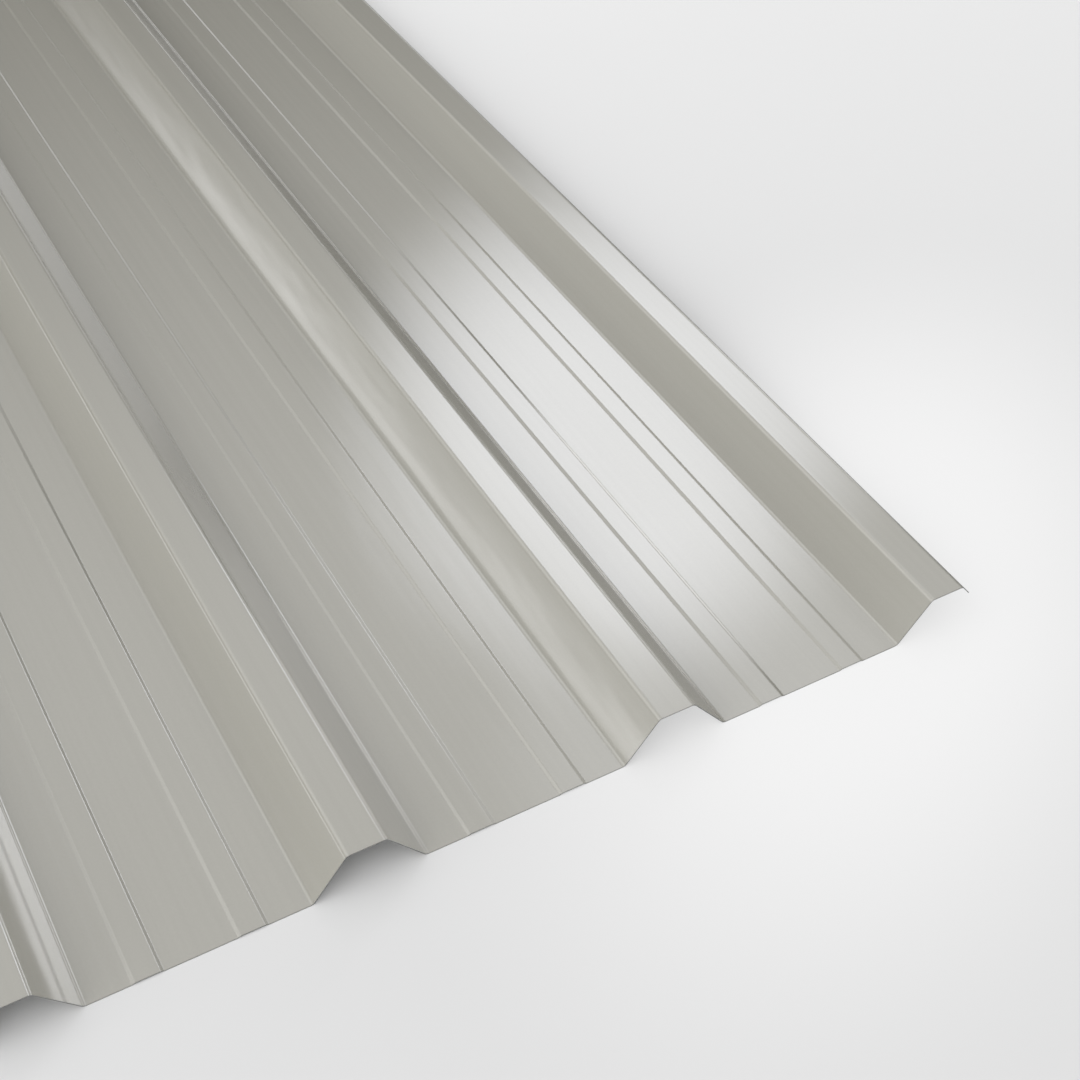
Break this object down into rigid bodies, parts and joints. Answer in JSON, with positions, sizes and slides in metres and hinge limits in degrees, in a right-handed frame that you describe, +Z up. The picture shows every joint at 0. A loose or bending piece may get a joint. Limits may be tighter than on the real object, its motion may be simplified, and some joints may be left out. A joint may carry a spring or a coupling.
{
  "type": "box profile roofing sheet",
  "caption": "Flat-lying length of trapezoidal box-profile metal sheet with swaged pans, for cladding roofs and walls.",
  "frame": {"origin": "on the floor, under the middle of the sheet", "axes": "+X across the ribs towards the overlapping edge with the short lip, +Y along the ribs, +Z up, ribs upwards"},
  "size_m": [1.065, 2, 0.03],
  "materials": {
    "coated_steel": "warm light-grey polyester coil coating, satin, over galvanised steel"
  },
  "bodies": {
    "root": {"profiled_sheet": "coated_steel"}
  },
  "joints": []
}
